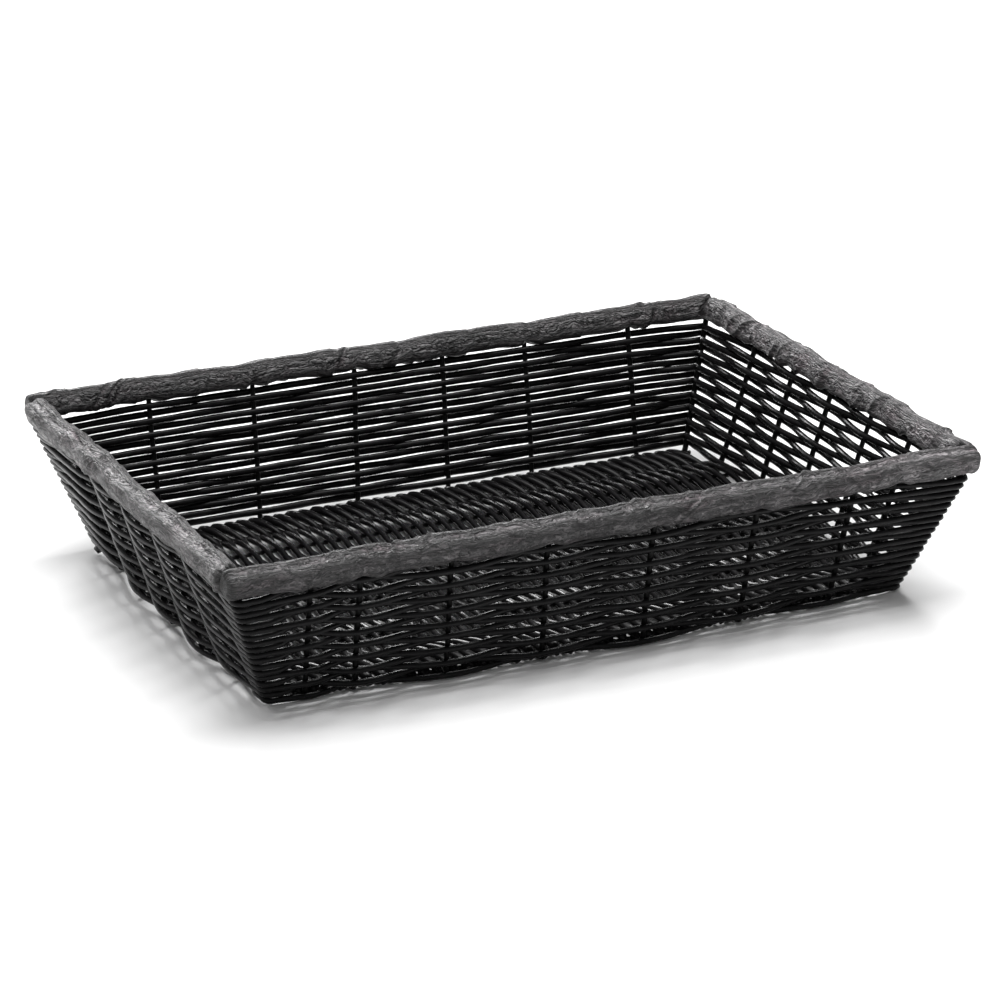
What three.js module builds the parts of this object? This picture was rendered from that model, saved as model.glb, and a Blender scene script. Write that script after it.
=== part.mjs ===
// Woven bread basket: a shallow rectangular tray of dark round rods.
// Millimetres, +Z up, +X along the length, -Y the front.
// The origin is on the resting plane, under the middle of the basket.
import * as THREE from 'three';

// ---------------------------------------------------------------- dimensions
const RIM_LENGTH = 484;        // between the rim's centre lines
const RIM_WIDTH = 339;
const RIM_HEIGHT = 91.5;       // rim centre line above the table
const BASE_LENGTH = 414;       // where the walls meet the table
const BASE_WIDTH = 272;
const FRONT_BOW = 12;          // the bottom edges are bowed outward, most in the middle
const END_BOW = 8;
const BOW_TOP = 83;            // the bow has faded away here, just under the rim

const ROD_RADIUS = 1.9;        // corner radius of the square wall rods
const STAKE_RADIUS = 1.75;     // uprights and corner posts
const FOOT_DRAW = 0.97;        // a foot is this much nearer the wall's middle than its tip
// Where the uprights stand along each wall at the rim, spaced by hand and so not quite even.
const UPRIGHT_PLACES = {
  front: [-195, -164, -106, -44, 26, 96, 163, 191],
  right: [-104, -55, -3, 46, 98],
  back: [180, 103, 43, -20, -92, -164],
  left: [101, 50, -1, -52, -102],
};
const UPRIGHT_FOOT = 0.9;      // height of the middle of a foot's end
const UPRIGHT_TIP = RIM_HEIGHT + 3;

const ROW_COUNT = 9;           // rows of two rods each from the base to the rim
const TOP_ROW = 77.6;          // height of the middle of the highest row
const LOW_ROW_BACK = 10.3;     // height of the lowest row along the back
const LOW_ROW_FRONT = 5.2;     // and along the front, where it sits on the base edge
const CORNER_SAG = 2.4;        // the upper rows dip this much at the corners
const PASS = 4.2;              // a rod's sideways distance from the upright it passes
const CORNER_PASS = 4.7;       // and from a corner post when it goes round outside
const STACK = 2.2;             // half the height between the two rods of a row
const FOLD_STATION = 19;       // the upright that every row's rod is folded round
const TAIL = 0.4;              // part of the last half bay that the two rod ends leave free

const RIM_ROD_THICK = 4.6;     // the two flat rods clamped either side of the uprights
const RIM_ROD_TALL = 13;
const RIM_ROD_CHAMFER = 1.8;
const RIM_ROD_OFFSET = 4.45;   // from the uprights' centre line to a rod's centre line
const WRAP_THICK = 15.2;       // outside of the wrapped rim
const WRAP_TALL = 17;
const WRAP_SKIN = 0.6;
const WRAP_CHAMFER = 3;
const WRAP_SLOT = 4.4;         // opening under the rim where the uprights come in
const GAP = 0.3;

const STICK_COUNT = 7;         // lengthwise sticks of the base
const STICK_RADIUS = 1.6;
const WEAVER_ROWS = 46;        // crosswise rows of the base
const WEAVER_WIDTH = 5;
const WEAVER_THICK = 2.6;
const WEAVER_CLEAR = 0.35;     // between a stick and the weaver that passes it
const STICK_PASS = STICK_RADIUS + WEAVER_THICK / 2 + WEAVER_CLEAR;
const BASE_CLEAR = 0.03;       // keeps the turns' edges off the table
const BASE_CENTRE = STICK_PASS + WEAVER_THICK / 2 + BASE_CLEAR;
const BASE_EDGE_IN = 10.6;     // from the wall's foot in to the outermost stick
const BASE_END_IN = 11.4;      // and from the end wall's foot in to the last row
const STICK_END_OUT = 3.2;     // how far the sticks run on past the last row
const TURN_RADIUS = 3.5;       // of the weaver's centre line round an edge stick
const FLAT = 1.5;              // half of the level stretch at the middle stick

// ----------------------------------------------------------------- materials
const rodBlack = new THREE.MeshStandardMaterial({ color: '#131315', roughness: 0.34, metalness: 0 });
const stakeBlack = new THREE.MeshStandardMaterial({ color: '#0e0e10', roughness: 0.45, metalness: 0 });
const ribbonGrey = new THREE.MeshStandardMaterial({ color: '#4b4547', roughness: 0.58, metalness: 0 });
const coreBrown = new THREE.MeshStandardMaterial({ color: '#2a2321', roughness: 0.7, metalness: 0 });

const basket = new THREE.Group();

function addPiece(name, geometry, material) {
  const mesh = new THREE.Mesh(geometry, material);
  mesh.name = name;
  basket.add(mesh);
}

// ------------------------------------------------------------ swept sections
// A route through given points; one extrusion step runs from each point to the next.
// The section's x axis stays as near to the reference direction as the route allows.
class Route extends THREE.Curve {
  constructor(points, reference) {
    super();
    this.points = points;
    this.reference = reference;
  }

  getUtoTmapping(u) {
    return u;
  }

  getPoint(t) {
    const place = t * (this.points.length - 1);
    const before = Math.min(Math.floor(place + 1e-9), this.points.length - 2);
    return this.points[before].clone().lerp(this.points[before + 1], place - before);
  }

  // Halfway between the directions on both sides of a point.
  tangentAtPoint(index) {
    const { points } = this;
    const tangent = new THREE.Vector3();
    if (index > 0) {
      tangent.add(points[index].clone().sub(points[index - 1]).normalize());
    }
    if (index < points.length - 1) {
      tangent.add(points[index + 1].clone().sub(points[index]).normalize());
    }
    return tangent.normalize();
  }

  computeFrenetFrames() {
    const tangents = this.points.map((point, index) => this.tangentAtPoint(index));
    const normals = tangents.map((tangent) => this.reference.clone()
      .addScaledVector(tangent, -tangent.dot(this.reference)).normalize());
    const binormals = tangents.map((tangent, index) => tangent.clone().cross(normals[index]));
    return { tangents, normals, binormals };
  }
}

const ALONG_X = new THREE.Vector3(1, 0, 0);
const UPRIGHT = new THREE.Vector3(0, 0, 1);

function sweep(shape, points, reference) {
  return new THREE.ExtrudeGeometry(shape, {
    steps: points.length - 1,
    extrudePath: new Route(points, reference),
    bevelEnabled: false,
  });
}

function polygonSection(radius, sides) {
  const corners = [];
  for (let i = 0; i < sides; i += 1) {
    const angle = (2 * Math.PI * (i + 0.5)) / sides;
    corners.push(new THREE.Vector2(radius * Math.cos(angle), radius * Math.sin(angle)));
  }
  return new THREE.Shape(corners);
}

function rectangleSection(width, height) {
  const x = width / 2;
  const y = height / 2;
  return new THREE.Shape([
    new THREE.Vector2(-x, -y), new THREE.Vector2(x, -y),
    new THREE.Vector2(x, y), new THREE.Vector2(-x, y),
  ]);
}

// ------------------------------------------------------------- wall's shape
// The walls in order, anticlockwise from above, each with the corner post that starts it.
const WALLS = [
  { side: 'front', lengthwise: true, sign: -1, corner: 'front_left', cornerSigns: [-1, -1] },
  { side: 'right', lengthwise: false, sign: 1, corner: 'front_right', cornerSigns: [1, -1] },
  { side: 'back', lengthwise: true, sign: 1, corner: 'back_right', cornerSigns: [1, 1] },
  { side: 'left', lengthwise: false, sign: -1, corner: 'back_left', cornerSigns: [-1, 1] },
];

const halfLength = (z) => THREE.MathUtils.lerp(BASE_LENGTH, RIM_LENGTH, z / RIM_HEIGHT) / 2;
const halfWidth = (z) => THREE.MathUtils.lerp(BASE_WIDTH, RIM_WIDTH, z / RIM_HEIGHT) / 2;

// A point in the middle of a wall's thickness, some way along the wall from its middle.
function wallPoint(wall, along, z) {
  const fade = Math.max(0, 1 - z / BOW_TOP);
  if (wall.lengthwise) {
    const bow = wall.side === 'front' ? FRONT_BOW * (1 - (along / halfLength(z)) ** 2) : 0;
    return new THREE.Vector3(along, wall.sign * (halfWidth(z) + bow * fade), z);
  }
  const bow = END_BOW * (1 - (along / halfWidth(z)) ** 2);
  return new THREE.Vector3(wall.sign * (halfLength(z) + bow * fade), along, z);
}

// Stations are the uprights in order, anticlockwise from the front left corner post.
function makeStations() {
  const stations = [];
  for (const wall of WALLS) {
    stations.push({ name: `corner_post_${wall.corner}`, wall, corner: true });
    UPRIGHT_PLACES[wall.side].forEach((place, i) => {
      stations.push({ name: `upright_${wall.side}_${i + 1}`, wall, place, corner: false });
    });
  }
  return stations;
}

function stationPoint(station, z) {
  if (station.corner) {
    const [signX, signY] = station.wall.cornerSigns;
    return new THREE.Vector3(signX * halfLength(z), signY * halfWidth(z), z);
  }
  const draw = THREE.MathUtils.lerp(FOOT_DRAW, 1, z / RIM_HEIGHT);
  return wallPoint(station.wall, station.place * draw, z);
}

const stations = makeStations();
const stationAt = (index) => stations[(index + stations.length) % stations.length];

// The directions straight out of the walls at a station, in the order a rod meets them.
function outwardDirections(station) {
  const { wall } = station;
  const outward = ({ lengthwise, sign }) => new THREE.Vector3(
    lengthwise ? 0 : sign, lengthwise ? sign : 0, 0,
  );
  if (!station.corner) {
    return [outward(wall)];
  }
  const wallBefore = WALLS[(WALLS.indexOf(wall) + WALLS.length - 1) % WALLS.length];
  return [outward(wallBefore), outward(wall)];
}

// ------------------------------------------------------------------ uprights
function addUprights() {
  const section = polygonSection(STAKE_RADIUS, 6);
  for (const station of stations) {
    const points = [UPRIGHT_FOOT, BOW_TOP, UPRIGHT_TIP].map((z) => stationPoint(station, z));
    addPiece(station.name, sweep(section, points, ALONG_X), stakeBlack);
  }
}

// ----------------------------------------------------------------- wall rows
function rowHeight(row, station) {
  const { y } = stationPoint(station, LOW_ROW_BACK);
  const low = THREE.MathUtils.mapLinear(y, -BASE_WIDTH / 2, BASE_WIDTH / 2, LOW_ROW_FRONT, LOW_ROW_BACK);
  const rise = row / (ROW_COUNT - 1);
  const sag = station.corner ? CORNER_SAG * rise : 0;
  return THREE.MathUtils.lerp(low, TOP_ROW, rise) - sag;
}

// Where a rod passes an upright: side is 1 outside it and -1 inside it,
// and level is 1 for the upper rod of the row and -1 for the lower.
// Outside a corner post the rod goes round in three short steps.
function passingPoints(index, row, side, level) {
  const station = stationAt(index);
  const centre = stationPoint(station, rowHeight(row, station) + level * STACK);
  const outward = outwardDirections(station);
  if (!station.corner) {
    return [centre.addScaledVector(outward[0], side * PASS)];
  }
  const diagonal = outward[0].clone().add(outward[1]);
  if (side < 0) {
    return [centre.addScaledVector(diagonal, -PASS)];
  }
  return [outward[0], diagonal.normalize(), outward[1]].map(
    (direction) => centre.clone().addScaledVector(direction, CORNER_PASS),
  );
}

// Midway between two uprights both rods cross the wall's middle, one above the other.
function crossingPoint(index, row, level) {
  const before = stationAt(index);
  const after = stationAt(index + 1);
  const z = (rowHeight(row, before) + rowHeight(row, after)) / 2 + level * STACK;
  const middle = stationPoint(before, z).add(stationPoint(after, z)).multiplyScalar(0.5);
  return wallPoint(before.wall, before.wall.lengthwise ? middle.x : middle.y, z);
}

// One of a row's two strands, from the upright it is folded round to its end.
function strandPoints(row, startSide, level) {
  const points = [];
  let side = startSide;
  for (let i = 0; i < stations.length; i += 1) {
    const index = FOLD_STATION + i;
    points.push(...passingPoints(index, row, side, level));
    points.push(crossingPoint(index, row, level));
    side = -side;
  }
  const tailStart = points[points.length - 1];
  const tailEnd = passingPoints(FOLD_STATION, row, side, level)[0];
  points.push(tailStart.clone().lerp(tailEnd, 1 - TAIL));
  return points;
}

// The fold climbs from the lower strand, outside the upright, to the upper one inside it.
function foldPoints(row) {
  const station = stationAt(FOLD_STATION);
  const next = stationAt(FOLD_STATION + 1);
  const z = rowHeight(row, station);
  const back = stationPoint(station, z).sub(stationPoint(next, z)).normalize();
  const out = outwardDirections(station)[0];
  return [-45, 0, 45].map((degrees) => {
    const angle = THREE.MathUtils.degToRad(degrees);
    return stationPoint(station, z - STACK * degrees / 90)
      .addScaledVector(back, PASS * Math.cos(angle))
      .addScaledVector(out, PASS * Math.sin(angle));
  });
}

// A row is one long rod folded in the middle. Its halves lie one on the other and go in and out
// of the uprights in turn, so that one is outside where the other is inside.
function addWallRows() {
  const section = polygonSection(ROD_RADIUS, 4);
  for (let row = 0; row < ROW_COUNT; row += 1) {
    const inner = strandPoints(row, -1, 1);
    const outer = strandPoints(row, 1, -1);
    const points = [...inner.reverse(), ...foldPoints(row), ...outer];
    addPiece(`wall_row_${row + 1}`, sweep(section, points, UPRIGHT), rodBlack);
  }
}

// ----------------------------------------------------------------------- rim
const LONG_LEAN = Math.atan((RIM_WIDTH - BASE_WIDTH) / 2 / RIM_HEIGHT);
const END_LEAN = Math.atan((RIM_LENGTH - BASE_LENGTH) / 2 / RIM_HEIGHT);
const RIM_END = RIM_LENGTH / 2 + WRAP_THICK / 2;

// Eight-sided bar section, with its centre moved sideways.
function barSection(width, height, chamfer, offset) {
  const x = width / 2;
  const y = height / 2;
  const corners = [
    [x, -y + chamfer], [x, y - chamfer], [x - chamfer, y], [-x + chamfer, y],
    [-x, y - chamfer], [-x, -y + chamfer], [-x + chamfer, -y], [x - chamfer, -y],
  ];
  return new THREE.Shape(corners.map(([px, py]) => new THREE.Vector2(px + offset, py)));
}

// The ribbon's section: a skin round both rods, open below for the uprights.
function wrapSection() {
  const x = WRAP_THICK / 2;
  const y = WRAP_TALL / 2;
  const chamfer = WRAP_CHAMFER;
  const slot = WRAP_SLOT / 2;
  const side = (scale, inset) => [
    [slot, -y + inset], [x - chamfer, -y + inset], [x - inset, -y + chamfer],
    [x - inset, y - chamfer], [x - chamfer, y - inset],
  ].map(([px, py]) => new THREE.Vector2(scale * px, py));
  const outline = [
    ...side(1, 0), ...side(-1, 0).reverse(),
    ...side(-1, WRAP_SKIN), ...side(1, WRAP_SKIN).reverse(),
  ];
  return new THREE.Shape(outline);
}

// A straight piece of the rim. The section's x is outward and its y runs up the wall.
// Both ends are cut along planes that lean outward by endLean from upright.
function rimPiece(section, side, halfLength, endLean) {
  const geometry = new THREE.ExtrudeGeometry(section, {
    depth: 2 * halfLength, steps: 1, bevelEnabled: false,
  });
  geometry.translate(0, 0, -halfLength);
  const { outward, along, lean, offset } = rimSide(side);
  const acrossWall = outward.clone().multiplyScalar(Math.cos(lean)).addScaledVector(UPRIGHT, -Math.sin(lean));
  const upWall = outward.clone().multiplyScalar(Math.sin(lean)).addScaledVector(UPRIGHT, Math.cos(lean));
  geometry.applyMatrix4(new THREE.Matrix4().makeBasis(acrossWall, upWall, along));
  const position = geometry.attributes.position;
  for (let i = 0; i < position.count; i += 1) {
    const corner = new THREE.Vector3().fromBufferAttribute(position, i);
    const end = Math.sign(corner.dot(along));
    corner.addScaledVector(along, end * corner.z * Math.tan(endLean));
    corner.addScaledVector(outward, offset);
    corner.z += RIM_HEIGHT;
    position.setXYZ(i, corner.x, corner.y, corner.z);
  }
  return geometry;
}

function rimSide(side) {
  const sides = {
    front: { outward: [0, -1, 0], along: [-1, 0, 0], lean: LONG_LEAN, offset: RIM_WIDTH / 2 },
    back: { outward: [0, 1, 0], along: [1, 0, 0], lean: LONG_LEAN, offset: RIM_WIDTH / 2 },
    left: { outward: [-1, 0, 0], along: [0, 1, 0], lean: END_LEAN, offset: RIM_LENGTH / 2 },
    right: { outward: [1, 0, 0], along: [0, -1, 0], lean: END_LEAN, offset: RIM_LENGTH / 2 },
  };
  const found = sides[side];
  return {
    ...found,
    outward: new THREE.Vector3(...found.outward),
    along: new THREE.Vector3(...found.along),
  };
}

function addRim() {
  const longEnd = RIM_END;
  const shortEnd = RIM_WIDTH / 2 - WRAP_THICK / 2 / Math.cos(LONG_LEAN) - GAP;
  for (const side of ['front', 'back', 'left', 'right']) {
    const long = side === 'front' || side === 'back';
    const half = long ? longEnd : shortEnd;
    const endLean = long ? 0 : LONG_LEAN;
    for (const [layer, offset] of [['outer', RIM_ROD_OFFSET], ['inner', -RIM_ROD_OFFSET]]) {
      const section = barSection(RIM_ROD_THICK, RIM_ROD_TALL, RIM_ROD_CHAMFER, offset);
      const piece = rimPiece(section, side, half, endLean);
      addPiece(`rim_rod_${layer}_${side}`, piece, coreBrown);
    }
    addPiece(`rim_wrap_${side}`, rimPiece(wrapSection(), side, half, endLean), ribbonGrey);
  }
}

// ---------------------------------------------------------------------- base
// The base fills the bowed outline: u and v from -1 to 1 reach its edge rows.
function basePoint(u, v, z) {
  const reachX = BASE_LENGTH / 2 - BASE_END_IN;
  const reachY = BASE_WIDTH / 2 - BASE_EDGE_IN;
  const x = u * (reachX + END_BOW * (1 - v * v));
  const bow = v < 0 ? -v * FRONT_BOW * (1 - u * u) : 0;
  return new THREE.Vector3(x, v * reachY - bow, z);
}

const stickPlace = (stick) => THREE.MathUtils.mapLinear(stick, 0, STICK_COUNT - 1, -1, 1);
const rowPlace = (row) => THREE.MathUtils.mapLinear(row, 0, WEAVER_ROWS - 1, -1, 1);

function addBaseSticks() {
  const section = polygonSection(STICK_RADIUS, 6);
  const spans = 8;
  const reach = 1 + STICK_END_OUT / (BASE_LENGTH / 2);
  for (let stick = 0; stick < STICK_COUNT; stick += 1) {
    const points = [];
    for (let i = 0; i <= spans; i += 1) {
      const u = THREE.MathUtils.mapLinear(i, 0, spans, -reach, reach);
      points.push(basePoint(u, stickPlace(stick), BASE_CENTRE));
    }
    addPiece(`base_stick_${stick + 1}`, sweep(section, points, UPRIGHT), stakeBlack);
  }
}

// One row of the base's weaver: over a stick, under the next, level at the middle one.
function weaverRow(row, points) {
  const forward = row % 2 === 0;
  const u = rowPlace(row);
  for (let i = 0; i < STICK_COUNT; i += 1) {
    const stick = forward ? i : STICK_COUNT - 1 - i;
    const over = (stick + row) % 2 === 0 ? 1 : -1;
    const z = BASE_CENTRE + over * STICK_PASS;
    const at = basePoint(u, stickPlace(stick), z);
    if (stick === (STICK_COUNT - 1) / 2) {
      const step = forward ? FLAT : -FLAT;
      points.push(at.clone().setY(at.y - step), at.clone().setY(at.y + step));
    } else {
      points.push(at);
    }
  }
}

// The turn round the edge stick, from the end of one row to the start of the next.
function weaverTurn(row, points) {
  const forward = row % 2 === 0;
  const v = forward ? 1 : -1;
  const over = ((forward ? STICK_COUNT - 1 : 0) + row) % 2 === 0 ? 1 : -1;
  for (const degrees of [45, 90, 135]) {
    const angle = THREE.MathUtils.degToRad(degrees);
    const u = THREE.MathUtils.lerp(rowPlace(row), rowPlace(row + 1), (degrees - 45) / 90);
    const turn = basePoint(u, v, BASE_CENTRE + over * TURN_RADIUS * Math.cos(angle));
    turn.y += v * TURN_RADIUS * Math.sin(angle);
    points.push(turn);
  }
}

function addBaseWeavers() {
  const section = rectangleSection(WEAVER_WIDTH, WEAVER_THICK);
  const half = WEAVER_ROWS / 2;
  for (const [side, first] of [['left', 0], ['right', half]]) {
    const points = [];
    for (let row = first; row < first + half; row += 1) {
      weaverRow(row, points);
      if (row < first + half - 1) {
        weaverTurn(row, points);
      }
    }
    addPiece(`base_weaver_${side}`, sweep(section, points, ALONG_X), rodBlack);
  }
}

addBaseSticks();
addBaseWeavers();
addUprights();
addWallRows();
addRim();

export default basket;
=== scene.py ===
"""Bread basket of dark rods: woven walls, a woven base with a rolled edge, and a ribbon-wrapped rim.

Shapes are worked out in millimetres in the frame of the CAD part and stored in metres.
"""
import math

import bpy
import numpy as np
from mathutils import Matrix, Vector


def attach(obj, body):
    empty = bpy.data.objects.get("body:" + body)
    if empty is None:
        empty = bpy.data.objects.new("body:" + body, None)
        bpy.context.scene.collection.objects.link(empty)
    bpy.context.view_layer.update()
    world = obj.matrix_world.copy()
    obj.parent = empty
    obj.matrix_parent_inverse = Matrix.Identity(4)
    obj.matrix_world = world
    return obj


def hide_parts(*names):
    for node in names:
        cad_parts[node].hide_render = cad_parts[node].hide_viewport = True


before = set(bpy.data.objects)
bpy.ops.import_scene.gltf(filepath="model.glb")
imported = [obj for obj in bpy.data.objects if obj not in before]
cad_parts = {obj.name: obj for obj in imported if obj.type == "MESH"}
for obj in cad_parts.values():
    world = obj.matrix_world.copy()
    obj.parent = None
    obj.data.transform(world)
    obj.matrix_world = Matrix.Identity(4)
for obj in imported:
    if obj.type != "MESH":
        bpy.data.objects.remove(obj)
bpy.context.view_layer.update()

MM = 0.001
ABOUT_A_TURN = 6.283           # radians, the range of a random phase

# ---------------------------------------------------------------- dimensions (mm)
RIM_LENGTH, RIM_WIDTH, RIM_HEIGHT = 484.0, 339.0, 91.5
BASE_LENGTH, BASE_WIDTH = 414.0, 272.0
FRONT_BOW, END_BOW, BOW_TOP = 12.0, 8.0, 83.0
FOOT_DRAW = 0.97
UPRIGHT_PLACES = {
    "front": [-195, -164, -106, -44, 26, 96, 163, 191],
    "right": [-104, -55, -3, 46, 98],
    "back": [180, 103, 43, -20, -92, -164],
    "left": [101, 50, -1, -52, -102],
}
# How far a foot stands along the wall from its tip, besides the draw.
FOOT_SHIFT = {
    "front": [2, 2, 3, 5, 4, 3, 2, 1],
    "right": [0, 0, 0, 0, 0],
    "back": [-3, -6, -9, -13, -12, -10],
    "left": [0, 0, 0, 0, 0],
}
POSTS = {"front": "front_left", "right": "front_right", "back": "back_right", "left": "back_left"}
WALLS = ["front", "right", "back", "left"]

ROW_COUNT = 9
TOP_ROW, LOW_ROW_BACK, LOW_ROW_FRONT, CORNER_SAG = 79.0, 10.3, 6.1, 2.0
ROD, BACK_ROD = 1.98, 2.24     # radius of a wall rod at the front and at the back
STAKE = 1.75                   # radius of an upright
PASS = 3.75                    # how far a rod's middle passes out from an upright's
STACK = 2.2                    # half the height between the two rods of a row
DIP, BACK_DIP = 0.5, 1.15      # how much lower a rod lies outside an upright, and higher inside
# The uprights the rods pass in turn; the last at the front stands by the corner and is left out.
STATIONS = {"front": range(7), "right": range(5), "back": range(6), "left": range(5)}

UPRIGHT_HEIGHTS = (2.6, 9.0, 25.0, 45.0, 65.0, RIM_HEIGHT + 2)
POST_HEIGHTS = (2.6, 12.0, 30.0, 50.0, 70.0, RIM_HEIGHT + 2)
UPRIGHT_TOE, UPRIGHT_TOE_RISE = 9, 0.6   # a foot turns in under the base by this much
POST_TOE, POST_TOE_RISE = 8, 3.0

rng = np.random.default_rng(7)


# ---------------------------------------------------------------- wall surface
def lerp(a, b, t):
    return a + (b - a) * t


def half_length(z):
    return lerp(BASE_LENGTH, RIM_LENGTH, z / RIM_HEIGHT) / 2


def half_width(z):
    return lerp(BASE_WIDTH, RIM_WIDTH, z / RIM_HEIGHT) / 2


def wall_point(wall, along, z):
    """A point of the wall's middle surface, which leans out and is bowed at the foot."""
    fade = max(0.0, 1 - z / BOW_TOP)
    if wall in ("front", "back"):
        bow = FRONT_BOW * (1 - (along / half_length(z)) ** 2) * fade if wall == "front" else 0.0
        side = -1 if wall == "front" else 1
        return np.array([along, side * (half_width(z) + bow), z])
    side = 1 if wall == "right" else -1
    bow = END_BOW * (1 - (along / half_width(z)) ** 2) * fade
    return np.array([side * (half_length(z) + bow), along, z])


OUTWARD = {
    "front": np.array([0.0, -1.0, 0.0]),
    "right": np.array([1.0, 0.0, 0.0]),
    "back": np.array([0.0, 1.0, 0.0]),
    "left": np.array([-1.0, 0.0, 0.0]),
}
UP = np.array([0.0, 0.0, 1.0])


def row_height(row, y, corner):
    """Height of the middle of a row: the front starts lower, and upper rows dip at the corners."""
    low = LOW_ROW_FRONT + (y + BASE_WIDTH / 2) / BASE_WIDTH * (LOW_ROW_BACK - LOW_ROW_FRONT)
    return lerp(low, TOP_ROW, row / (ROW_COUNT - 1)) - CORNER_SAG * row / (ROW_COUNT - 1) * corner


# ---------------------------------------------------------------- meshes
class Shape:
    """Gathers tubes and strips into one mesh, with a grain coordinate for the materials."""

    def __init__(self):
        self.points, self.faces, self.grain, self.smooth = [], [], [], []
        self.count = 0

    def add(self, points, faces, grain):
        self.points.append(np.asarray(points))
        self.grain.append(np.asarray(grain))
        self.faces.extend([[i + self.count for i in face] for face in faces])
        self.count += len(points)

    def piece(self, name, material, slot, nodes):
        mesh = bpy.data.meshes.new(name)
        mesh.from_pydata((np.concatenate(self.points) * MM).tolist(), [], self.faces)
        mesh.validate()
        grain = mesh.attributes.new("grain", "FLOAT_VECTOR", "POINT")
        grain.data.foreach_set("vector", np.concatenate(self.grain).astype(np.float32).ravel())
        mesh.polygons.foreach_set("use_smooth", np.ones(len(mesh.polygons), dtype=bool))
        mesh.set_sharp_from_angle(angle=math.radians(50))
        mesh.materials.append(material)
        piece = bpy.data.objects.new(name, mesh)
        bpy.context.scene.collection.objects.link(piece)
        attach(piece, "root")
        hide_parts(*nodes)


def unit(v):
    return v / np.maximum(np.linalg.norm(v, axis=-1, keepdims=True), 1e-9)


def frames(path, closed):
    """Tangent and two section axes at every point of a path, turning as little as they can."""
    if closed:
        tangent = unit(np.roll(path, -1, axis=0) - np.roll(path, 1, axis=0))
    else:
        tangent = unit(np.gradient(path, axis=0))
    first = UP if abs(tangent[0][2]) < 0.8 else np.array([1.0, 0.0, 0.0])
    side = np.empty_like(path)
    last = first
    for i, t in enumerate(tangent):
        last = last - t * (last @ t)
        last = last / np.linalg.norm(last)
        side[i] = last
    other = np.cross(tangent, side)
    if closed:
        carried = side[-1] - tangent[0] * (side[-1] @ tangent[0])
        twist = math.atan2(carried @ other[0], carried @ side[0])
        turn = -twist * np.arange(len(path)) / len(path)
        side, other = (side * np.cos(turn)[:, None] + other * np.sin(turn)[:, None],
                       other * np.cos(turn)[:, None] - side * np.sin(turn)[:, None])
    return tangent, side, other


def wave(s, sizes, lengths):
    """A smooth wobble: a few sines of given sizes and wavelengths, each with its own phase."""
    total = np.zeros_like(s)
    for size, length in zip(sizes, lengths):
        total += size * np.sin(2 * math.pi * s / length + rng.uniform(0, 2 * math.pi))
    return total


def tube(shape, path, radius, sides=10, closed=False, dome=0.0):
    """A round rod along a path. A radius may be a number or one for every point."""
    path = np.asarray(path, dtype=float)
    n = len(path)
    tangent, side, other = frames(path, closed)
    step = np.linalg.norm(np.diff(path, axis=0), axis=1)
    s = np.concatenate([[0.0], np.cumsum(step)])
    r = np.broadcast_to(np.asarray(radius, dtype=float), (n,))
    r = r * (1 + wave(s, [0.025, 0.02], [37.0, 13.0]))
    angle = np.arange(sides) * 2 * math.pi / sides
    c, d = np.cos(angle), np.sin(angle)
    ring = (path[:, None, :] + r[:, None, None] *
            (side[:, None, :] * c[None, :, None] + other[:, None, :] * d[None, :, None]))
    grain = np.stack([np.broadcast_to(c * 2, (n, sides)), np.broadcast_to(d * 2, (n, sides)),
                      np.broadcast_to((s + rng.uniform(0, 500))[:, None], (n, sides))], axis=-1)
    points, marks = ring.reshape(-1, 3), grain.reshape(-1, 3)
    faces = []
    for i in range(n if closed else n - 1):
        a, b = i * sides, ((i + 1) % n) * sides
        for j in range(sides):
            k = (j + 1) % sides
            faces.append([a + j, a + k, b + k, b + j])
    if not closed:
        caps = np.array([path[0] - tangent[0] * r[0] * dome, path[-1] + tangent[-1] * r[-1] * dome])
        points = np.concatenate([points, caps])
        marks = np.concatenate([marks, [marks[0], marks[-1]]])
        start, end, last = n * sides, n * sides + 1, (n - 1) * sides
        for j in range(sides):
            k = (j + 1) % sides
            faces.append([start, k, j])
            faces.append([end, last + j, last + k])
    shape.add(points, faces, marks)


def spline(points, spacing, closed=False):
    """A centripetal Catmull-Rom curve through the points, cut into steps of about one spacing."""
    points = np.asarray(points, dtype=float)
    if closed:
        ring = np.concatenate([points[-1:], points, points[:2]])
    else:
        ring = np.concatenate([2 * points[:1] - points[1:2], points, 2 * points[-1:] - points[-2:-1]])
    out = []
    for i in range(1, len(ring) - 2):
        p0, p1, p2, p3 = ring[i - 1:i + 3]
        t1 = max(np.linalg.norm(p1 - p0), 1e-6) ** 0.5
        t2 = t1 + max(np.linalg.norm(p2 - p1), 1e-6) ** 0.5
        t3 = t2 + max(np.linalg.norm(p3 - p2), 1e-6) ** 0.5
        steps = max(1, round(np.linalg.norm(p2 - p1) / spacing))
        for t in t1 + (t2 - t1) * np.arange(steps) / steps:
            a1 = p0 + (p1 - p0) * (t / t1)
            a2 = p1 + (p2 - p1) * ((t - t1) / (t2 - t1))
            a3 = p2 + (p3 - p2) * ((t - t2) / (t3 - t2))
            b1 = a1 + (a2 - a1) * (t / t2)
            b2 = a2 + (a3 - a2) * ((t - t1) / (t3 - t1))
            out.append(b1 + (b2 - b1) * ((t - t1) / (t2 - t1)))
    if not closed:
        out.append(points[-1])
    return np.array(out)


# ---------------------------------------------------------------- materials
def new_material(name):
    material = bpy.data.materials.new(name)
    material.use_nodes = True
    tree = material.node_tree
    return material, tree, tree.nodes["Principled BSDF"]


def add_node(tree, kind, inputs=None, **settings):
    node = tree.nodes.new(kind)
    for key, value in settings.items():
        setattr(node, key, value)
    for key, value in (inputs or {}).items():
        if isinstance(value, bpy.types.NodeSocket):
            tree.links.new(value, node.inputs[key])
        else:
            node.inputs[key].default_value = value
    return node


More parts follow.
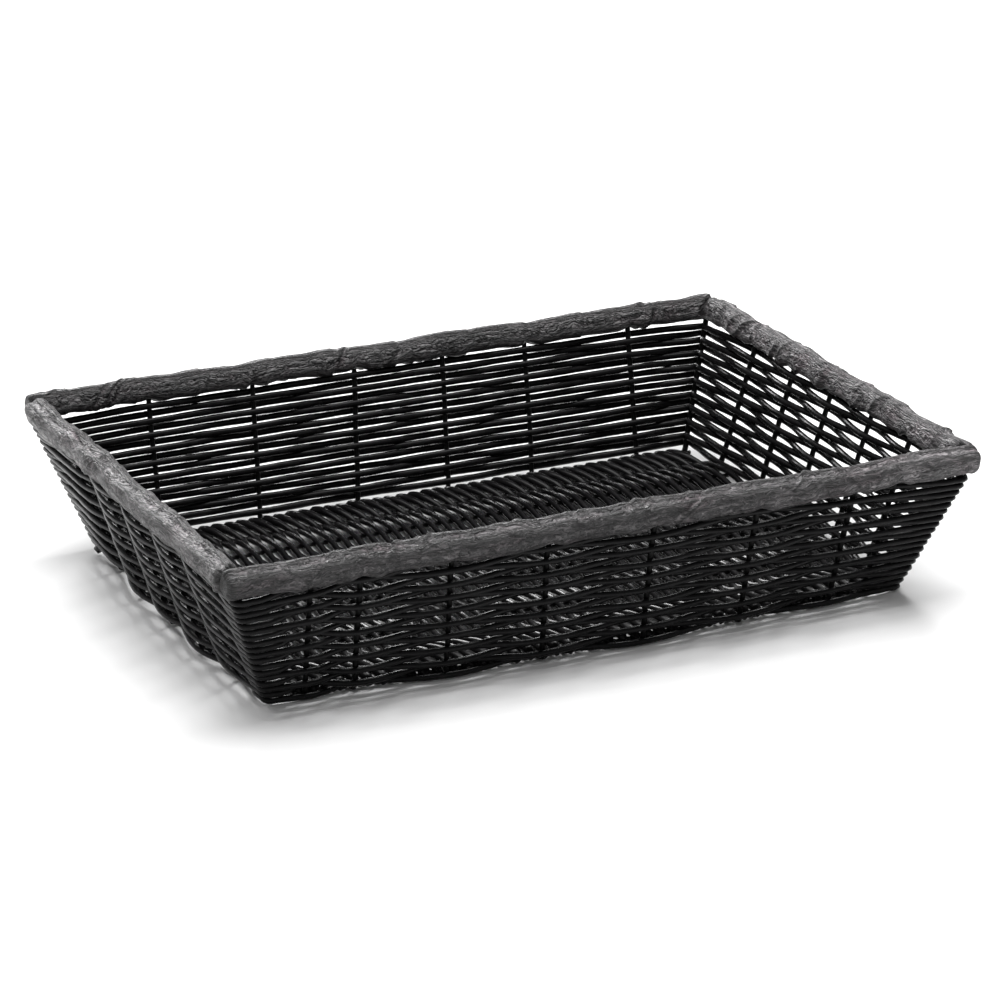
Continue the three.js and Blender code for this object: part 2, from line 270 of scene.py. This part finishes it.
def noise(tree, vector, scale, detail=4.0, rough=0.55):
    return add_node(tree, "ShaderNodeTexNoise",
                    {"Vector": vector, "Scale": scale, "Detail": detail, "Roughness": rough}).outputs["Fac"]


def ramp(tree, fac, stops):
    node = add_node(tree, "ShaderNodeValToRGB", {"Fac": fac})
    elements = node.color_ramp.elements
    while len(elements) < len(stops):
        elements.new(0.5)
    for element, (place, colour) in zip(elements, stops):
        element.position = place
        element.color = (*colour, 1)
    return node.outputs["Color"]


def span(tree, value, low, high, out_low, out_high):
    return add_node(tree, "ShaderNodeMapRange", {
        "Value": value, "From Min": low, "From Max": high, "To Min": out_low, "To Max": out_high,
    }).outputs["Result"]


def math_node(tree, operation, *values):
    return add_node(tree, "ShaderNodeMath", dict(enumerate(values)), operation=operation).outputs[0]


def scaled(tree, vector, scale):
    return add_node(tree, "ShaderNodeMapping", {"Vector": vector, "Scale": scale}).outputs["Vector"]


def rod_material(name, dark, light, rough_low, rough_high, streak):
    """Stained and lacquered rod: long fibre streaks, faint patches of wear, a satin gloss."""
    material, tree, shader = new_material(name)
    grain = add_node(tree, "ShaderNodeAttribute", attribute_name="grain").outputs["Vector"]
    fibres = noise(tree, scaled(tree, grain, (1.0, 1.0, 0.035)), 2.6, 5.0, 0.65)
    patches = noise(tree, scaled(tree, grain, (0.2, 0.2, 0.05)), 1.0, 3.0)
    colour = ramp(tree, math_node(tree, "MULTIPLY", fibres, patches), [(0.12, dark), (0.42, light)])
    tree.links.new(colour, shader.inputs["Base Color"])
    tree.links.new(span(tree, patches, 0.3, 0.7, rough_low, rough_high), shader.inputs["Roughness"])
    knots = noise(tree, scaled(tree, grain, (0.5, 0.5, 0.3)), 0.5, 2.0)
    height = math_node(tree, "MULTIPLY_ADD", knots, 0.5, fibres)
    bump = add_node(tree, "ShaderNodeBump", {"Height": height, "Strength": streak, "Distance": 0.0003})
    tree.links.new(bump.outputs["Normal"], shader.inputs["Normal"])
    shader.inputs["Specular IOR Level"].default_value = 0.12
    return material


# The ribbon's grain runs on from side to side, each side starting this much further along.
GRAIN_PER_SIDE = 1000.0
GRAIN_END = 5000.0
# Painted light and shade on the ribbon: how light each side is painted, at fractions of the whole grain:
# front, back, right and left side in turn.
SIDE_PAINTED_LIGHT = [(0.2, 0.42), (0.26, 0.55), (0.3, 1.0), (0.4, 0.55),
                  (0.5, 0.42), (0.6, 1.0), (0.665, 1.0), (0.8, 0.6)]


def ribbon_material(name):
    """Thin crinkled ribbon: wavy wrinkles along the wrap, pink in places; painted shade darkens the wrinkle
    hollows and creases, a painted highlight lightens the ridges, and painted light makes some sides lighter.
    """
    material, tree, shader = new_material(name)
    grain = add_node(tree, "ShaderNodeAttribute", attribute_name="grain").outputs["Vector"]
    warp = noise(tree, scaled(tree, grain, (0.1, 0.1, 0.06)), 1.0, 3.0)
    shift = add_node(tree, "ShaderNodeCombineXYZ", {
        "X": span(tree, warp, 0.3, 0.7, -2.4, 2.4),
        "Y": span(tree, warp, 0.3, 0.7, 2.4, -2.4),
    }).outputs["Vector"]
    bent = add_node(tree, "ShaderNodeVectorMath", {0: grain, 1: shift}, operation="ADD").outputs["Vector"]
    wrinkles = noise(tree, scaled(tree, bent, (1.0, 1.0, 0.1)), 0.75, 2.0, 0.5)
    fine = noise(tree, scaled(tree, bent, (1.0, 1.0, 0.14)), 1.6, 2.0, 0.5)
    patches = noise(tree, scaled(tree, grain, (0.07, 0.07, 0.035)), 1.0, 3.0)
    tint = noise(tree, scaled(tree, grain, (0.06, 0.06, 0.03)), 1.3, 2.0)
    mix = math_node(tree, "MULTIPLY_ADD", wrinkles, 0.65, math_node(tree, "MULTIPLY", fine, 0.35))
    # the ribbon's tone follows its wrinkles: partly its own mottle, partly painted shade, darkest in the
    # hollows of the bump
    base = ramp(tree, mix, [
        (0.38, (0.008, 0.0075, 0.008)),
        (0.5, (0.030, 0.028, 0.029)),
        (0.62, (0.11, 0.103, 0.106)),
    ])
    pink = add_node(tree, "ShaderNodeMixRGB", {
        "Fac": span(tree, tint, 0.5, 0.7, 0.0, 0.6),
        "Color1": base,
        "Color2": (1.0, 0.80, 0.86, 1),
    }, blend_type="MULTIPLY").outputs["Color"]
    place = add_node(tree, "ShaderNodeSeparateXYZ", {"Vector": grain}).outputs["Z"]
    # painted light: each side of the ribbon is painted lighter or darker as it is lit, the right side
    # lightest and the front's left end darkest
    side = ramp(tree, span(tree, place, 0.0, GRAIN_END, 0.0, 1.0),
                [(at, (light,) * 3) for at, light in SIDE_PAINTED_LIGHT])
    # random lighter patches of wear, multiplied by the painted light of each side
    wear_and_painted_light = math_node(tree, "MULTIPLY", side, span(tree, patches, 0.3, 0.7, 1.0, 2.8))
    # painted highlight and shade: the ribbon is painted lighter on its ridges and darker in its creases
    ridges = add_node(tree, "ShaderNodeNewGeometry").outputs["Pointiness"]
    wear_and_painted_light = math_node(tree, "MULTIPLY", wear_and_painted_light, span(tree, ridges, 0.46, 0.55, 0.15, 2.2))
    shade = add_node(tree, "ShaderNodeHueSaturation", {"Color": pink, "Value": wear_and_painted_light}).outputs["Color"]
    tree.links.new(shade, shader.inputs["Base Color"])
    tree.links.new(span(tree, mix, 0.35, 0.65, 0.55, 0.33), shader.inputs["Roughness"])
    bump = add_node(tree, "ShaderNodeBump", {"Height": mix, "Strength": 1.0, "Distance": 0.005})
    tree.links.new(bump.outputs["Normal"], shader.inputs["Normal"])
    shader.inputs["Specular IOR Level"].default_value = 0.5
    return material


ROD_DARK, ROD_LIGHT = (0.0018, 0.0018, 0.002), (0.009, 0.0085, 0.009)
STAKE_DARK, STAKE_LIGHT = (0.0015, 0.0015, 0.0015), (0.006, 0.0058, 0.006)
wall_black = rod_material("wall rod", ROD_DARK, ROD_LIGHT, 0.17, 0.32, 0.35)
stake_black = rod_material("upright rod", STAKE_DARK, STAKE_LIGHT, 0.32, 0.5, 0.5)
base_black = rod_material("base rod", ROD_DARK, ROD_LIGHT, 0.14, 0.28, 0.35)
ribbon_grey = ribbon_material("rim ribbon")


# ---------------------------------------------------------------- uprights and corner posts
def upright_place(wall, number, z):
    """Where an upright stands along its wall, at a height."""
    rise = z / RIM_HEIGHT
    drawn = UPRIGHT_PLACES[wall][number] * lerp(FOOT_DRAW, 1, rise)
    return drawn + FOOT_SHIFT[wall][number] * (1 - rise)


def upright_path(wall, number):
    path = []
    for z in UPRIGHT_HEIGHTS:
        p = wall_point(wall, upright_place(wall, number, z), z)
        path.append(p + rng.normal(0, 0.22, 3) * (1, 1, 0))
    toe = path[0] - OUTWARD[wall] * UPRIGHT_TOE + np.array([0, 0, UPRIGHT_TOE_RISE])
    return spline([toe] + path, 3.0)


def post_path(corner):
    sign_x = -1 if "left" in corner else 1
    sign_y = -1 if "front" in corner else 1
    path = [np.array([sign_x * half_length(z), sign_y * half_width(z), z]) for z in POST_HEIGHTS]
    foot = path[0]
    toe = foot * (1, 1, 0) * (1 - POST_TOE / np.linalg.norm(foot[:2])) + np.array([0, 0, POST_TOE_RISE])
    return spline([toe] + path, 3.0)


for wall in WALLS:
    for number in range(len(UPRIGHT_PLACES[wall])):
        shape = Shape()
        path = upright_path(wall, number)
        tube(shape, path, STAKE * rng.uniform(0.92, 1.06), sides=12, dome=0.3)
        shape.piece(f"stake_{wall}_{number + 1}", stake_black, "stake", [f"upright_{wall}_{number + 1}"])
    shape = Shape()
    tube(shape, post_path(POSTS[wall]), STAKE * 1.1, sides=12, dome=0.3)
    shape.piece(f"post_{POSTS[wall]}", stake_black, "stake", [f"corner_post_{POSTS[wall]}"])


# ---------------------------------------------------------------- wall rows
INSIDE_CORNER = "back"         # at the start of this wall one rod passes inside the post
BAY_PLACES = (0.2, 0.35, 0.5, 0.65, 0.8)
LOOK_UP_HEIGHT = 40.0          # where a wall's y is read, to find how far back a place is
NEAR_POST, OFF_POST = 5.0, 11.0   # a rod's last places before a corner post
WIDE_BAY = 18                  # a corner bay wider than this has room for both
POST_EXTRA = 0.35              # how much wider a rod goes round a post than past an upright


def ease(t):
    t = min(1.0, max(0.0, t))
    return t * t * (3 - 2 * t)


def backness(y):
    return np.clip(y / BASE_WIDTH + 0.5, 0.0, 1.0)


def corner_steps(gap):
    """Distances from a corner post at which a rod is placed, in the bay beside it."""
    if gap > WIDE_BAY:
        return NEAR_POST, OFF_POST, 0.5 * (OFF_POST + gap)
    return NEAR_POST, 0.5 * (NEAR_POST + gap)


def strand(row, upper):
    """One rod's control points round the basket, from the front left corner.

    The rods of a row take turns: where one is outside an upright, the other is inside.
    """
    points = []
    turn = 0.5 if upper else -0.5
    level = STACK if upper else -STACK

    def height(y, out, corner):
        return row_height(row, y, corner) + level - lerp(DIP, BACK_DIP, backness(y)) * out / PASS

    def put(wall, place, out, corner):
        z = height(wall_point(wall, place, LOOK_UP_HEIGHT)[1], out, corner)
        points.append(wall_point(wall, place, z) + OUTWARD[wall] * out)

    for index, wall in enumerate(WALLS):
        z0 = row_height(row, wall_point(wall, 0, LOOK_UP_HEIGHT)[1], 0.0)
        reach = half_length(z0) if wall in ("front", "back") else half_width(z0)
        sign = 1 if wall in ("front", "right") else -1
        places = [upright_place(wall, number, z0) for number in STATIONS[wall]]
        starts_inside = wall == INSIDE_CORNER
        ends_inside = WALLS[(index + 1) % 4] == INSIDE_CORNER
        # from the corner to the first upright
        gap = abs(places[0] + sign * reach)
        for d in corner_steps(gap):
            t = d / gap
            if starts_inside:
                out = PASS * math.cos(math.pi * (turn + t))
            else:
                out = lerp(PASS, PASS * math.cos(math.pi * (turn + 0.5)), ease(1.25 * t - 0.25))
            put(wall, -sign * (reach - d), out, 1 - ease(t))
        turn += 1 if starts_inside else 0.5
        for i, place in enumerate(places):
            put(wall, place, PASS * math.cos(math.pi * turn), 0.0)
            if i + 1 < len(places):
                for t in BAY_PLACES:
                    out = PASS * math.cos(math.pi * (turn + t))
                    put(wall, lerp(place, places[i + 1], t), out, 0.0)
                turn += 1
        # from the last upright to the corner
        gap = abs(sign * reach - places[-1])
        for d in reversed(corner_steps(gap)):
            t = 1 - d / gap
            if ends_inside:
                out = PASS * math.cos(math.pi * (turn + t))
            else:
                out = lerp(PASS * math.cos(math.pi * turn), PASS, ease(1.25 * t))
            put(wall, sign * (reach - d), out, ease(t))
        turn += 1 if ends_inside else 0.5
        # round the corner post
        here, there = OUTWARD[wall], OUTWARD[WALLS[(index + 1) % 4]]
        side = here + there
        out = PASS * math.cos(math.pi * turn) if ends_inside else PASS
        z = height(side[1] * half_width(LOOK_UP_HEIGHT), out, 1.0)
        post = np.array([side[0] * half_length(z), side[1] * half_width(z), z])
        if out > 0:
            for angle in (10, 45, 80):
                a = math.radians(angle)
                points.append(post + (here * math.cos(a) + there * math.sin(a)) * (out + POST_EXTRA))
        else:
            points.append(post + side * out * 0.95)
    return np.array(points)


def wall_row(row):
    shape = Shape()
    for upper in (False, True):
        path = spline(strand(row, upper), 3.5, closed=True)
        s = np.cumsum(np.linalg.norm(np.diff(path, axis=0, append=path[:1]), axis=1))
        turns = 2 * math.pi * s / s[-1]
        for size, count in ((0.2, 7), (0.16, 13), (0.12, 29)):
            path[:, 2] += size * np.sin(turns * count + rng.uniform(0, ABOUT_A_TURN))
        swell = np.zeros(len(path))
        for size, count in ((0.03, 9), (0.025, 21)):
            swell += size * np.sin(turns * count + rng.uniform(0, ABOUT_A_TURN))
        radius = lerp(ROD, BACK_ROD, backness(path[:, 1])) * (1 + swell)
        tube(shape, path, radius, sides=12, closed=True)
    shape.piece(f"twined_row_{row + 1}", wall_black, "rod", [f"wall_row_{row + 1}"])


for row in range(ROW_COUNT):
    wall_row(row)

# ---------------------------------------------------------------- base
BASE_ROD, BASE_STICK = 2.02, 1.4       # radii
BASE_MIDDLE = 5.6              # height of the sticks' centre lines
BASE_PASS = BASE_ROD + BASE_STICK - 0.1   # a rod is pressed a little into the sticks it passes
STICKS = [-126.0, -75.6, -25.2, 25.2, 75.6, 126.0]
STICK_REACH = 206
BASE_SIDE = 2.15               # half the distance between the two rods of a row
ROWS, PITCH = 48, 8.6

# Where a rod goes at the edge, from the last crossing: sideways, on from the middle, up, radius.
OVER_EDGE = [(-4.4, 107.5, 7.4, 2.1), (-6.8, 114.5, 8.2, 2.6), (-9.4, 121.5, 8.0, 2.95),
             (-11.4, 127.5, 6.4, 3.05), (-12.2, 130.4, 4.3, 2.8), (-11.2, 128.6, 2.6, 2.1)]
UNDER_EDGE = [(2.4, 108.0, 3.4, 1.6), (1.2, 117.0, 2.1, 1.7), (0.0, 126.0, 2.3, 1.8), (-0.6, 129.5, 3.6, 1.7)]
# The front edge is stretched by up to this much, between these distances from the middle.
FRONT_STRETCH, STRETCH_START, STRETCH_LENGTH = 5.5, 104, 22


def bowed(x, y):
    """Moves a point of the straight base to follow the bowed front edge and ends."""
    fade = min(1.0, max(0.0, -y / STICKS[-1]))
    front = FRONT_BOW * (1 - (x / (BASE_LENGTH / 2)) ** 2) * fade
    end = 0.5 * END_BOW * x / (BASE_LENGTH / 2) * (1 - (y / (BASE_WIDTH / 2)) ** 2)
    return x + end, y - front


def stretched(table):
    return [(side, on + FRONT_STRETCH * ease((on - STRETCH_START) / STRETCH_LENGTH), up, radius)
            for side, on, up, radius in table]


def edge_tail(x, sign, table):
    shift = rng.normal(0, 0.3, 4)
    fat = rng.uniform(0.92, 1.08)
    tail = []
    for i, (side, on, up, radius) in enumerate(table):
        fade = min(1.0, (i + 1) / 3)
        tail.append((x + sign * (side + shift[0] * fade), sign * (on + shift[1] * fade),
                     up + shift[2] * fade, radius * lerp(1, fat, fade)))
    return tail


def row_middle(x, half):
    """A rod's way over and under the sticks, from halfway into the first bay to halfway into the last."""
    last_bay = len(STICKS) - 2
    side = BASE_SIDE if half == 0 else -BASE_SIDE
    points = []
    for j, y in enumerate(STICKS[:-1]):
        gap = STICKS[j + 1] - y
        for t in (0.0, 0.25, 0.5, 0.75):
            outside = (j == 0 and t < 0.5) or (j == last_bay and t > 0.5)
            if not outside:
                z = BASE_MIDDLE + BASE_PASS * math.cos(math.pi * (half + j + t))
                points.append((x + side, y + gap * t, z, BASE_ROD))
    return points


for number, y in enumerate(STICKS, 1):
    shape = Shape()
    points = [(*bowed(x, y + rng.normal(0, 0.3)), BASE_MIDDLE)
              for x in np.linspace(-STICK_REACH, STICK_REACH, 18)]
    tube(shape, spline(points, 5.0), BASE_STICK, sides=8, dome=0.2)
    shape.piece(f"base_rod_{number}", base_black, "rod", [f"base_stick_{number}"])

weave = Shape()
for row in range(ROWS):
    x = (row - (ROWS - 1) / 2) * PITCH
    for half in (0, 1):
        near = edge_tail(x, -1, stretched(OVER_EDGE if half == 0 else UNDER_EDGE))
        far = edge_tail(x, 1, OVER_EDGE if half == 1 else UNDER_EDGE)
        points = near[::-1] + row_middle(x, half) + far
        smooth = spline([(*bowed(px, py), pz, r) for px, py, pz, r in points], 2.5)
        # no rod goes below the table
        smooth[:, 2] = np.maximum(smooth[:, 2], smooth[:, 3] * 1.1 + 0.1)
        tube(weave, smooth[:, :3], smooth[:, 3] * rng.uniform(0.95, 1.05), sides=10, dome=0.3)
weave.piece("base_weave", base_black, "rod", ["base_weaver_left", "base_weaver_right", "base_stick_7"])

# ---------------------------------------------------------------- rim
LONG_LEAN = math.atan2((RIM_WIDTH - BASE_WIDTH) / 2, RIM_HEIGHT)
END_LEAN = math.atan2((RIM_LENGTH - BASE_LENGTH) / 2, RIM_HEIGHT)
RIM_THICK, RIM_TALL = 15.0, 16.4
ROUNDNESS = 2.9                # power of the rim's outline, where 2 is an ellipse
GROOVE, TUCK, DENT_WIDTH = 1.5, 1.8, 2.4   # dents between the two hidden rods, above and below
AROUND = 72                    # points round the rim
RIM_STEP = 1.25                # between rings of points
TURN_PITCH, TURN_LEAD = 46.0, 26.0   # of the ribbon's turns, along the rim
TURN_EDGE = 0.9                # height of a turn's edge over the one before
LONG_FOLDS, END_FOLDS = 26, 17
PINCH, PUFF, PUFF_OUT = 1.5, 0.7, 9   # the ribbon is drawn in at an upright and puffed out beside it
TIP_LENGTH, TIP_SIZE = 5.0, 0.64   # an end is rounded down to this part of the section
GRAIN_TALL = RIM_TALL * 0.95


def section():
    """Outline of the wrapped rim across its length: two rods side by side under the ribbon."""
    angle = np.arange(AROUND) * 2 * math.pi / AROUND
    c, s = np.cos(angle), np.sin(angle)
    power = 2 / ROUNDNESS
    x = np.sign(c) * np.abs(c) ** power * RIM_THICK / 2
    y = np.sign(s) * np.abs(s) ** power * RIM_TALL / 2
    dent = np.exp(-(x / DENT_WIDTH) ** 2)
    y = np.where(s > 0, y - GROOVE * dent, y + TUCK * dent)
    return x, y, angle


def ribbon_edges(s, angle, jitter, local):
    """The ribbon goes round and along; every turn's edge lies over the one before."""
    around = angle / (2 * math.pi)
    phase = (s[:, None] + jitter[:, None] + TURN_LEAD * around[None, :]
             + TURN_LEAD * 0.25 * np.sin(angle)[None, :]) / TURN_PITCH
    phase += local.uniform(0, 1)
    frac = phase - np.floor(phase)
    return TURN_EDGE * np.clip(frac / 0.03, 0, 1) * np.exp(-frac * 2.6)


def ribbon_folds(s, angle, length, count, local):
    """Slanting folds, each a ridge with a sharp near side and a crease beside it."""
    folds = np.zeros((len(s), AROUND))
    for _ in range(count):
        at = local.uniform(0, length)
        slope = local.uniform(14, 34)
        width = local.uniform(1.8, 5.0)
        depth = local.uniform(0.4, 1.7)
        centre = local.uniform(0, 2 * math.pi)
        spread = local.uniform(0.7, 1.4)
        turn = (angle - centre + math.pi) % (2 * math.pi) - math.pi
        where = s[:, None] - at - slope * turn[None, :] / math.pi
        ridge = np.exp(-(where / np.where(where > 0, width, 0.3 * width)) ** 2)
        crease = np.exp(-((where + 0.9 * width) / (0.4 * width)) ** 2)
        folds += depth * (ridge - 0.7 * crease) * np.exp(-(turn[None, :] / spread) ** 2)
    return folds


def ribbon_pinches(wall, along, angle):
    """Pinched where the uprights come in from below."""
    pinch = np.zeros((len(along), AROUND))
    below = np.clip(-np.sin(angle), 0, 1)[None, :]
    for place in UPRIGHT_PLACES[wall]:
        d = (along - place)[:, None]
        beside = np.exp(-((d - PUFF_OUT) / 5.0) ** 2) + np.exp(-((d + PUFF_OUT) / 5.0) ** 2)
        pinch -= PINCH * np.exp(-(d / 4.0) ** 2) * below
        pinch += PUFF * beside * below
    return pinch


def rim_faces(rings, outside_in):
    """Quads between the rings and a fan of triangles at each end."""
    faces = []
    first_cap, last_cap, last_ring = rings * AROUND, rings * AROUND + 1, (rings - 1) * AROUND
    for i in range(rings - 1):
        a, b = i * AROUND, (i + 1) * AROUND
        for j in range(AROUND):
            k = (j + 1) % AROUND
            faces.append([a + j, a + k, b + k, b + j])
    for j in range(AROUND):
        k = (j + 1) % AROUND
        faces.append([first_cap, k, j])
        faces.append([last_cap, last_ring + j, last_ring + k])
    return [face[::-1] for face in faces] if outside_in else faces


def rim_side(wall, start, end, seed):
    """One side of the rim, from one end to the other. The seed also places it along the grain."""
    local = np.random.default_rng(seed)
    length = abs(end - start)
    along = np.linspace(start, end, int(length / RIM_STEP) + 1)
    s = np.abs(along - start)
    long_wall = wall in ("front", "back")
    outward = OUTWARD[wall]
    lean = LONG_LEAN if long_wall else END_LEAN
    across_wall = outward * math.cos(lean) - UP * math.sin(lean)
    up_wall = UP * math.cos(lean) + outward * math.sin(lean)
    x, y, angle = section()

    def wander(sizes, lengths):
        total = np.zeros_like(s)
        for size, one_length in zip(sizes, lengths):
            total += size * np.sin(2 * math.pi * s / one_length + local.uniform(0, ABOUT_A_TURN))
        return total

    bulge = 1 + wander([0.035, 0.03, 0.02], [97.0, 41.0, 23.0])
    sway = wander([0.5, 0.35], [160.0, 60.0])
    lift = wander([0.4, 0.3], [120.0, 52.0])
    jitter = wander([3.0, 2.0], [140.0, 61.0])
    edges = ribbon_edges(s, angle, jitter, local)
    folds = ribbon_folds(s, angle, length, LONG_FOLDS if long_wall else END_FOLDS, local)
    swell = edges + folds + ribbon_pinches(wall, along, angle)
    # the two ends are rounded over
    tip = np.clip(np.minimum(s, length - s) / TIP_LENGTH, 0, 1)
    taper = np.sqrt(1 - (1 - tip) ** 2) * (1 - TIP_SIZE) + TIP_SIZE
    scale = (bulge * taper)[:, None]
    across = x[None, :] * scale + np.cos(angle)[None, :] * swell + sway[:, None]
    tall = y[None, :] * scale + np.sin(angle)[None, :] * swell + lift[:, None]

    centre = np.zeros((len(s), 3))
    centre[:, 0 if long_wall else 1] = along
    centre += outward * ((RIM_WIDTH if long_wall else RIM_LENGTH) / 2) + UP * RIM_HEIGHT
    points = centre[:, None, :] + across[:, :, None] * across_wall + tall[:, :, None] * up_wall
    grain = np.stack([np.broadcast_to(np.cos(angle) * GRAIN_TALL / 2, across.shape),
                      np.broadcast_to(np.sin(angle) * GRAIN_TALL / 2, across.shape),
                      np.broadcast_to((s + seed * GRAIN_PER_SIDE)[:, None], across.shape)], axis=-1)
    caps = np.array([points[0].mean(axis=0), points[-1].mean(axis=0)])
    cap_grain = [grain[0].mean(axis=0), grain[-1].mean(axis=0)]
    outside_in = (end > start) != (wall in ("front", "right"))
    shape = Shape()
    shape.add(np.concatenate([points.reshape(-1, 3), caps]), rim_faces(len(s), outside_in),
              np.concatenate([grain.reshape(-1, 3), cap_grain]))
    shape.piece(f"rim_ribbon_{wall}", ribbon_grey, "ribbon",
                [f"rim_wrap_{wall}", f"rim_rod_outer_{wall}", f"rim_rod_inner_{wall}"])


rim_side("front", -248.6, 246.6, 1)
rim_side("back", 243.0, -244.5, 2)
rim_side("right", -163.0, 163.0, 3)
rim_side("left", 163.0, -163.0, 4)

# ---------------------------------------------------------------- stage
floor_mesh = bpy.data.meshes.new("floor")
floor_mesh.from_pydata([(-8, -6, 0), (8, -6, 0), (8, 14, 0), (-8, 14, 0)], [], [(0, 1, 2, 3)])
floor = bpy.data.objects.new("floor", floor_mesh)
bpy.context.scene.collection.objects.link(floor)
floor_material, _, floor_shader = new_material("floor")
floor_shader.inputs["Base Color"].default_value = (0.86, 0.86, 0.86, 1)
floor_shader.inputs["Roughness"].default_value = 0.9
floor_shader.inputs["Specular IOR Level"].default_value = 0.1
floor_mesh.materials.append(floor_material)


def area(name, place, target, size, power):
    light = bpy.data.lights.new(name, "AREA")
    light.shape = "RECTANGLE"
    light.size, light.size_y = size
    light.energy = power
    lamp = bpy.data.objects.new(name, light)
    lamp.location = place
    lamp.rotation_mode = "QUATERNION"
    lamp.rotation_quaternion = (Vector(target) - Vector(place)).to_track_quat("-Z", "Y")
    bpy.context.scene.collection.objects.link(lamp)


area("top", (0.0, 0.25, 2.2), (0, 0, 0), (2.6, 1.8), 80)
area("key", (1.2, 0.84, 1.9), (0, 0, 0), (0.5, 0.5), 16)
area("back", (0.5, 3.0, 1.3), (0, 0, 0.1), (1.8, 0.5), 65)

world = bpy.data.worlds.new("studio")
bpy.context.scene.world = world
world.use_nodes = True
world.node_tree.nodes["Background"].inputs["Color"].default_value = (1, 1, 1, 1)
world.node_tree.nodes["Background"].inputs["Strength"].default_value = 0.34

camera_data = bpy.data.cameras.new("camera")
camera_data.sensor_width = 36.0
camera_data.lens = 154.872
camera_data.clip_end = 50
camera = bpy.data.objects.new("camera", camera_data)
azimuth, elevation, distance = math.radians(-25.47), math.radians(20.40), 2.662
aim = Vector((-0.00576, -0.0227, 0.0552))
behind = Vector((
    math.sin(azimuth) * math.cos(elevation),
    -math.cos(azimuth) * math.cos(elevation),
    math.sin(elevation),
))
camera.location = aim + behind * distance
camera.rotation_mode = "QUATERNION"
camera.rotation_quaternion = (-behind).to_track_quat("-Z", "Y")
bpy.context.scene.collection.objects.link(camera)
bpy.context.scene.camera = camera
bpy.context.scene.view_settings.view_transform = "Standard"
